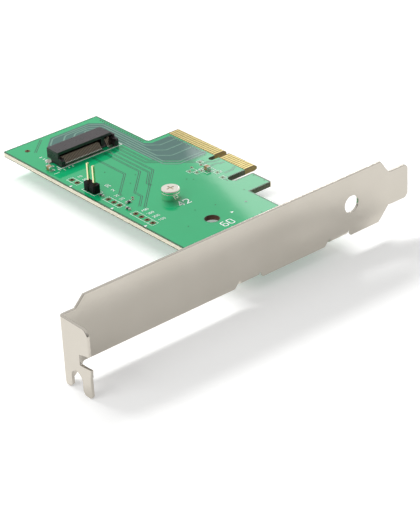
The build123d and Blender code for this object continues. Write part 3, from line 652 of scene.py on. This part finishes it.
# The drive connector's outline, with dashes beside it.
printed.append(([(5.4, 86.0), (5.4, 83.9), (28.2, 83.9), (28.2, 86.6)], 0.3))
printed += [([(5.2, v), (6.1, v)], 0.34) for v in (91.6, 92.6, 94.2)]
printed += [([(4.7, 84.6), (4.7, 83.2)], 0.26), ([(5.9, 83.3), (5.9, 82.2)], 0.2),
            ([(3.8, 82.4), (1.9, 82.4)], 0.2)]

# Boxes round the pin header and the chips, their numbers, and corner marks at the connector.
printed.append(frame_line(1.7, 4.9, 63.2, 69.0, stroke=0.16))
printed += number("2", 7.4, 61.6, height=1.1, stroke=0.16)
printed += number("20", 8.9, 64.6, height=1.1, stroke=0.17, turned=True)
printed.append(frame_line(33.6, 36.9, 51.0, 54.7, stroke=0.2))
printed += number("1", 37.2, 48.6, height=1.0, stroke=0.17)
CHIP_BOXES = ((30.2, 32.8, 54.6, 56.4), (36.2, 37.7, 57.2, 59.0), (35.4, 37.1, 48.6, 50.2),
              (31.2, 34.4, 52.6, 54.3), (34.4, 36.0, 45.0, 46.6))
for box in CHIP_BOXES:
    printed.append(frame_line(*box, stroke=0.14))
CORNER_MARKS = ((4.4, 86.6), (4.2, 88.4), (4.4, 90.2), (3.1, 84.4), (7.2, 82.6), (8.6, 82.6))
MARK_WIDTH, MARK_HEIGHT, MARK_LINE = 0.5, 0.9, 0.18
for u, v in CORNER_MARKS:
    printed.append(([(u, v), (u + MARK_WIDTH, v), (u + MARK_WIDTH, v + MARK_HEIGHT)], MARK_LINE))
ribbons("white_print", printed, lift=0.02, height=0.012, material=material)

POINTERS = ((0.8, 72.8), (0.8, 53.5), (0.9, 38.6), (23.2, 27.8))
POINTER_HALF = 0.5
plate("white_pointers", [[(u - POINTER_HALF, v - POINTER_HALF), (u + POINTER_HALF, v),
                          (u - POINTER_HALF, v + POINTER_HALF)] for u, v in POINTERS],
      lift=0.02, height=0.012, material=material)

# Edge contacts
# Copper contacts at one millimetre, on both faces, plated with nickel and hard gold.
# Warm, bright and slightly satin, with fine wear lines along the way the card is pushed in.

WEAR_LENGTH = 2 * MM
WEAR_STRETCH = 12
hard_gold, tree = new_material("hard_gold")
place = add(tree, "TexCoord")
stretched = add(tree, "Mapping", {"Vector": place.outputs["Object"],
                                  "Scale": (1, WEAR_STRETCH, WEAR_STRETCH)})
wear = add(tree, "TexNoise", {"Vector": stretched.outputs[0], "Scale": 1 / WEAR_LENGTH, "Detail": 3})
tint = add(tree, "MixRGB", {0: wear.outputs["Fac"], 1: linear("#F0DF9C"), 2: linear("#DECA80")})
gloss = add(tree, "MapRange", {"Value": wear.outputs["Fac"], "To Min": 0.24, "To Max": 0.34})
gold = add(tree, "BsdfPrincipled", {"Base Color": tint.outputs[0], "Metallic": 1,
                                    "Roughness": gloss.outputs[0]})
add(tree, "OutputMaterial", {"Surface": gold.outputs[0]})
for node in ("edge_contacts_top", "edge_contacts_bottom"):
    coat(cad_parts[node], hard_gold)

# Tinned copper
# Pads, solder tabs, end caps and the linings of the holes are copper that was dipped in molten tin.
# It leaves a bright, slightly uneven skin. The linings of the holes are drawn in a brown tin.

bright_tin = plated_metal("bright_tin", ("#E6E4DE", "#D5D3CD"), roughness=0.24, grain_mm=0.3,
                          grain_height_mm=0.01)
lining_tin = plated_metal("brown_lining_tin", ("#8A6E50", "#6E5238"), roughness=0.3, grain_mm=0.3,
                              grain_height_mm=0.01)
coat(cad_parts["hole_linings"], lining_tin)
for node in ("solder_pads", "drive_socket_solder_tabs", "header_solder"):
    coat(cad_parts[node], bright_tin)

# Drive connector
# A moulded housing of black liquid-crystal polymer, held by two pegs and two soldered ears.
# The polymer is satin and brownish where it is lit, with flow marks along its length.

FLOW_LENGTH = 2 * MM
FLOW_STRETCH = 5
FLOW_SPAN = (0.35, 0.65)
MOULD_GRAIN = 0.15 * MM
MOULD_GRAIN_HEIGHT = 0.006 * MM
MOULD_GLOSS_SPREAD = 0.25


def moulded_black(name, colour, roughness, shine=0.5):
    """Black moulded plastic with flow marks of colour and gloss, and the mould's fine grain."""
    material, tree = new_material(name)
    place = add(tree, "TexCoord")
    flow = add(tree, "Mapping", {"Vector": place.outputs["Object"],
                                 "Scale": (1, FLOW_STRETCH, FLOW_STRETCH)})
    streak = add(tree, "TexNoise", {"Vector": flow.outputs[0], "Scale": 1 / FLOW_LENGTH, "Detail": 4})
    grain = add(tree, "TexNoise", {"Vector": place.outputs["Object"], "Scale": 1 / MOULD_GRAIN,
                                   "Detail": 2})
    share = add(tree, "MapRange", {"Value": streak.outputs["Fac"], "From Min": FLOW_SPAN[0],
                                   "From Max": FLOW_SPAN[1]})
    tint = add(tree, "MixRGB", {0: share.outputs[0], 1: linear(colour[0]), 2: linear(colour[1])})
    gloss = add(tree, "MapRange", {"Value": share.outputs[0],
                                   "To Min": roughness * (1 - MOULD_GLOSS_SPREAD),
                                   "To Max": roughness * (1 + MOULD_GLOSS_SPREAD)})
    bump = add(tree, "Bump", {"Height": grain.outputs["Fac"], "Distance": MOULD_GRAIN_HEIGHT,
                              "Strength": 1})
    polymer = add(tree, "BsdfPrincipled", {"Base Color": tint.outputs[0], "Roughness": gloss.outputs[0],
                                           "IOR": 1.6, "Specular IOR Level": shine,
                                           "Normal": bump.outputs[0]})
    add(tree, "OutputMaterial", {"Surface": polymer.outputs[0]})
    return material


black_polymer = moulded_black("liquid_crystal_polymer", ("#09090B", "#33292D"), roughness=0.34)
housing = rounded_copy("drive_socket_housing", "connector_housing", black_polymer, radius=0.05 * MM,
                       shortest=0.9 * MM)

# The contacts are stamped phosphor bronze: gold where they touch the drive, and tinned where they are
# soldered, up to this height above the board. The gold is painted a dull brown-grey, which is painted
# shade for the inside of the socket.
TINNED_UP_TO = 0.35 * MM
CONTACT_WEAR = 0.4 * MM
contact_metal, tree = new_material("part_gold_contacts")
housing_low, housing_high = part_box("drive_socket_housing")
place = add(tree, "TexCoord")
axes = add(tree, "SeparateXYZ", {0: place.outputs["Object"]})
wear = add(tree, "TexNoise", {"Vector": place.outputs["Object"], "Scale": 1 / CONTACT_WEAR, "Detail": 2})
# Painted shade: the gold is darkened to a dull brown-grey for the inside of the socket.
shaded_gold_tint = add(tree, "MixRGB", {0: wear.outputs["Fac"], 1: linear("#A0947F"), 2: linear("#7E7466")})
gold = add(tree, "BsdfPrincipled", {"Base Color": shaded_gold_tint.outputs[0], "Metallic": 1, "Roughness": 0.2})
tin_tint = add(tree, "MixRGB", {0: wear.outputs["Fac"], 1: linear("#E6E4DE"), 2: linear("#CECCC6")})
tin = add(tree, "BsdfPrincipled", {"Base Color": tin_tint.outputs[0], "Metallic": 1, "Roughness": 0.28})
inside = add(tree, "Math", {0: axes.outputs["Z"], 1: board_high.z + TINNED_UP_TO}, operation="GREATER_THAN")
whole = add(tree, "MixShader", {0: inside.outputs[0], 1: tin.outputs[0], 2: gold.outputs[0]})
add(tree, "OutputMaterial", {"Surface": whole.outputs[0]})
for node in ("drive_socket_lower_pins", "drive_socket_upper_pins"):
    coat(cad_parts[node], contact_metal)

# Solder joints
# Each tail of the drive connector sits on its pad in a small fillet of solder.
# The molten solder was drawn up the tail's sides, so the mound is hollow toward its foot.

FILLET_PROFILE = ((1, 0), (0.72, 0.3), (0.5, 0.85), (0.3, 1))
FILLET_SIDES = 12


def fillet_of_solder(shape, centre, length, width, height):
    """A concave mound of solder, long along Y, on the board's top face."""
    rings = []
    for share, level in FILLET_PROFILE:
        ring = []
        for k in range(FILLET_SIDES):
            angle = math.tau * k / FILLET_SIDES
            x, y = math.cos(angle), math.sin(angle)
            ring.append(shape.verts.new((centre[0] + x * width / 2 * share,
                                         centre[1] + y * length / 2 * (share + 1) / 2,
                                         centre[2] + level * height)))
        rings.append(ring)
    for one, other in zip(rings, rings[1:]):
        for k in range(FILLET_SIDES):
            after = (k + 1) % FILLET_SIDES
            shape.faces.new((one[k], one[after], other[after], other[k]))
    shape.faces.new(rings[-1])


# Each row of tails has its node, its number of places and the way its tails point. The connector's
# key takes the same few places in both rows.
TAIL_ROWS = (("drive_socket_lower_pins", 37, -1), ("drive_socket_upper_pins", 38, 1))
PIN_PITCH = 0.5 * MM
KEYED = range(29, 33)
FILLET_FROM_TIP = 0.5 * MM
PAD_HEIGHT = 0.05 * MM
connector_middle = (housing_low.x + housing_high.x) / 2
shape = bmesh.new()
for node, count, outward in TAIL_ROWS:
    low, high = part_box(node)
    tip = low.y if outward < 0 else high.y
    for i in range(count):
        if i not in KEYED:
            x = connector_middle + (i - (count - 1) / 2) * PIN_PITCH
            fillet_of_solder(shape, (x, tip - outward * FILLET_FROM_TIP, board_high.z + PAD_HEIGHT),
                             length=1.15 * MM, width=0.3 * MM, height=0.17 * MM)
mesh = mesh_of(shape, "solder_fillets")
mesh.shade_smooth()
mesh.materials.append(bright_tin)
joints = put_in_scene("solder_fillets", mesh)
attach(joints, "root")

# Pin header
# Two square pins of gold-plated brass, pressed into a moulded block with bevelled cells.
# The block is black glass-filled nylon, nearly matt, and the pins are soldered under the board.

black_nylon = moulded_black("glass_filled_nylon", ("#020203", "#050505"), roughness=0.5, shine=0.12)
header = rounded_copy("header_base", "header_block", black_nylon, radius=0.07 * MM)
pin_gold = plated_metal("bright_gold", ("#F0E4BC", "#E6D8A8"), roughness=0.06, grain_mm=0.6,
                        grain_height_mm=0.0005)
coat(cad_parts["header_pins"], pin_gold)

# Standoff and screws
# A turned brass standoff, clamped from below, and pan-head machine screws in it and in the ears.
# All are bright nickel plated and nearly mirror-smooth.

bright_nickel = plated_metal("bright_nickel", ("#F8F3E8", "#EEE8DC"), roughness=0.06, grain_mm=0.6,
                             grain_height_mm=0.001)
for node, name in (("standoff", "turned_standoff"), ("standoff_screw", "drive_screw"),
                   ("standoff_clamp_screw", "clamp_screw"), ("bracket_screw_tab_side", "tab_side_screw"),
                   ("bracket_screw_tongue_side", "tongue_side_screw")):
    made = rounded_copy(node, name, bright_nickel, radius=0.06 * MM)

# Chip capacitors and resistors
# Capacitors are blocks of tan fired ceramic, and resistors are thin ceramic with a black coat.
# Both have tinned ends, by which they are soldered to their pads.

CERAMIC_GRAIN = 0.2 * MM
CERAMIC_GRAIN_HEIGHT = 0.004 * MM


def fired_ceramic(name, colour, roughness):
    """Fired ceramic or its coat, with a fine grain of colour and height."""
    material, tree = new_material(name)
    place = add(tree, "TexCoord")
    grain = add(tree, "TexNoise", {"Vector": place.outputs["Object"], "Scale": 1 / CERAMIC_GRAIN,
                                   "Detail": 3})
    tint = add(tree, "MixRGB", {0: grain.outputs["Fac"], 1: linear(colour[0]), 2: linear(colour[1])})
    bump = add(tree, "Bump", {"Height": grain.outputs["Fac"], "Distance": CERAMIC_GRAIN_HEIGHT,
                              "Strength": 1})
    ceramic = add(tree, "BsdfPrincipled", {"Base Color": tint.outputs[0], "Roughness": roughness,
                                           "Normal": bump.outputs[0]})
    add(tree, "OutputMaterial", {"Surface": ceramic.outputs[0]})
    return material


tan_ceramic = fired_ceramic("tan_ceramic", ("#B9986B", "#A3835A"), roughness=0.4)
black_ceramic = fired_ceramic("black_coated_ceramic", ("#1A1A1C", "#262628"), roughness=0.3)
for node, name, finish, slot in (("capacitor_bodies", "capacitor_blocks", tan_ceramic, "tan_ceramic"),
                                 ("capacitor_end_caps", "capacitor_ends", bright_tin, "tinned_copper"),
                                 ("resistor_bodies", "resistor_blocks", black_ceramic, "dark_ceramic"),
                                 ("resistor_end_caps", "resistor_ends", bright_tin, "tinned_copper")):
    made = rounded_copy(node, name, finish, radius=0.03 * MM)
